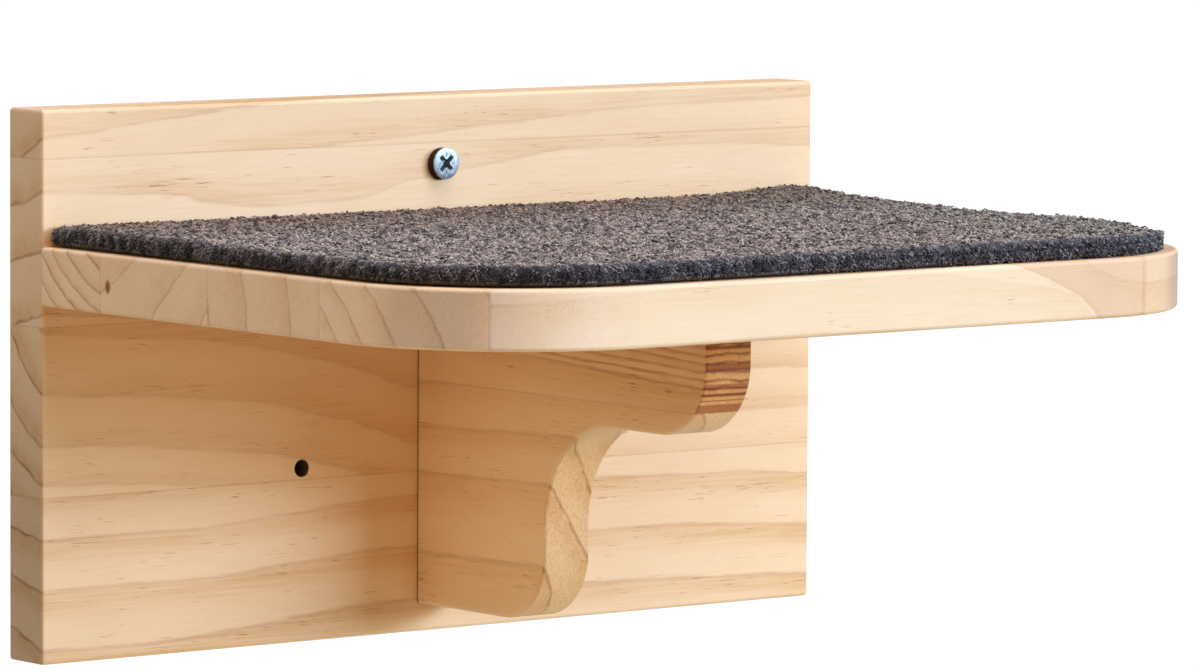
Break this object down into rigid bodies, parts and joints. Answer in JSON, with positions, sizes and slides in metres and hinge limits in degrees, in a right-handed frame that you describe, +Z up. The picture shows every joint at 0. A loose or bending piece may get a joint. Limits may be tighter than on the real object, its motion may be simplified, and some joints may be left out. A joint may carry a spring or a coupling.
{
  "type": "wall mounted cat step",
  "caption": "Wooden cat step for a wall: a flat back board, a step board with rounded front corners and a felt carpet, and a curved corbel bracket under it.",
  "frame": {"origin": "centre of the back board's rear face, which lies flat on the wall", "axes": "+Z up, +Y into the wall, -Y out into the room along the step, +X to the right as seen from the room, along the board's length"},
  "size_m": [0.254, 0.2176, 0.142],
  "materials": {
    "pine": "sanded clear pine, unvarnished",
    "carpet": "heathered grey needle felt pile",
    "carpet_backing": "thin latex backing",
    "tape": "double-sided tape",
    "zinc_plate": "bright zinc plate",
    "beech": "plain beech dowel"
  },
  "bodies": {
    "root": {"back_board": "pine", "step_board": "pine", "support_bracket": "pine", "carpet_pad": "carpet", "carpet_backing": "carpet_backing", "carpet_tape": "tape", "wall_screw": "zinc_plate", "step_screws": "zinc_plate", "bracket_rear_screws": "zinc_plate", "bracket_top_screws": "zinc_plate", "step_dowels": "beech", "bracket_dowel": "beech"}
  },
  "joints": []
}
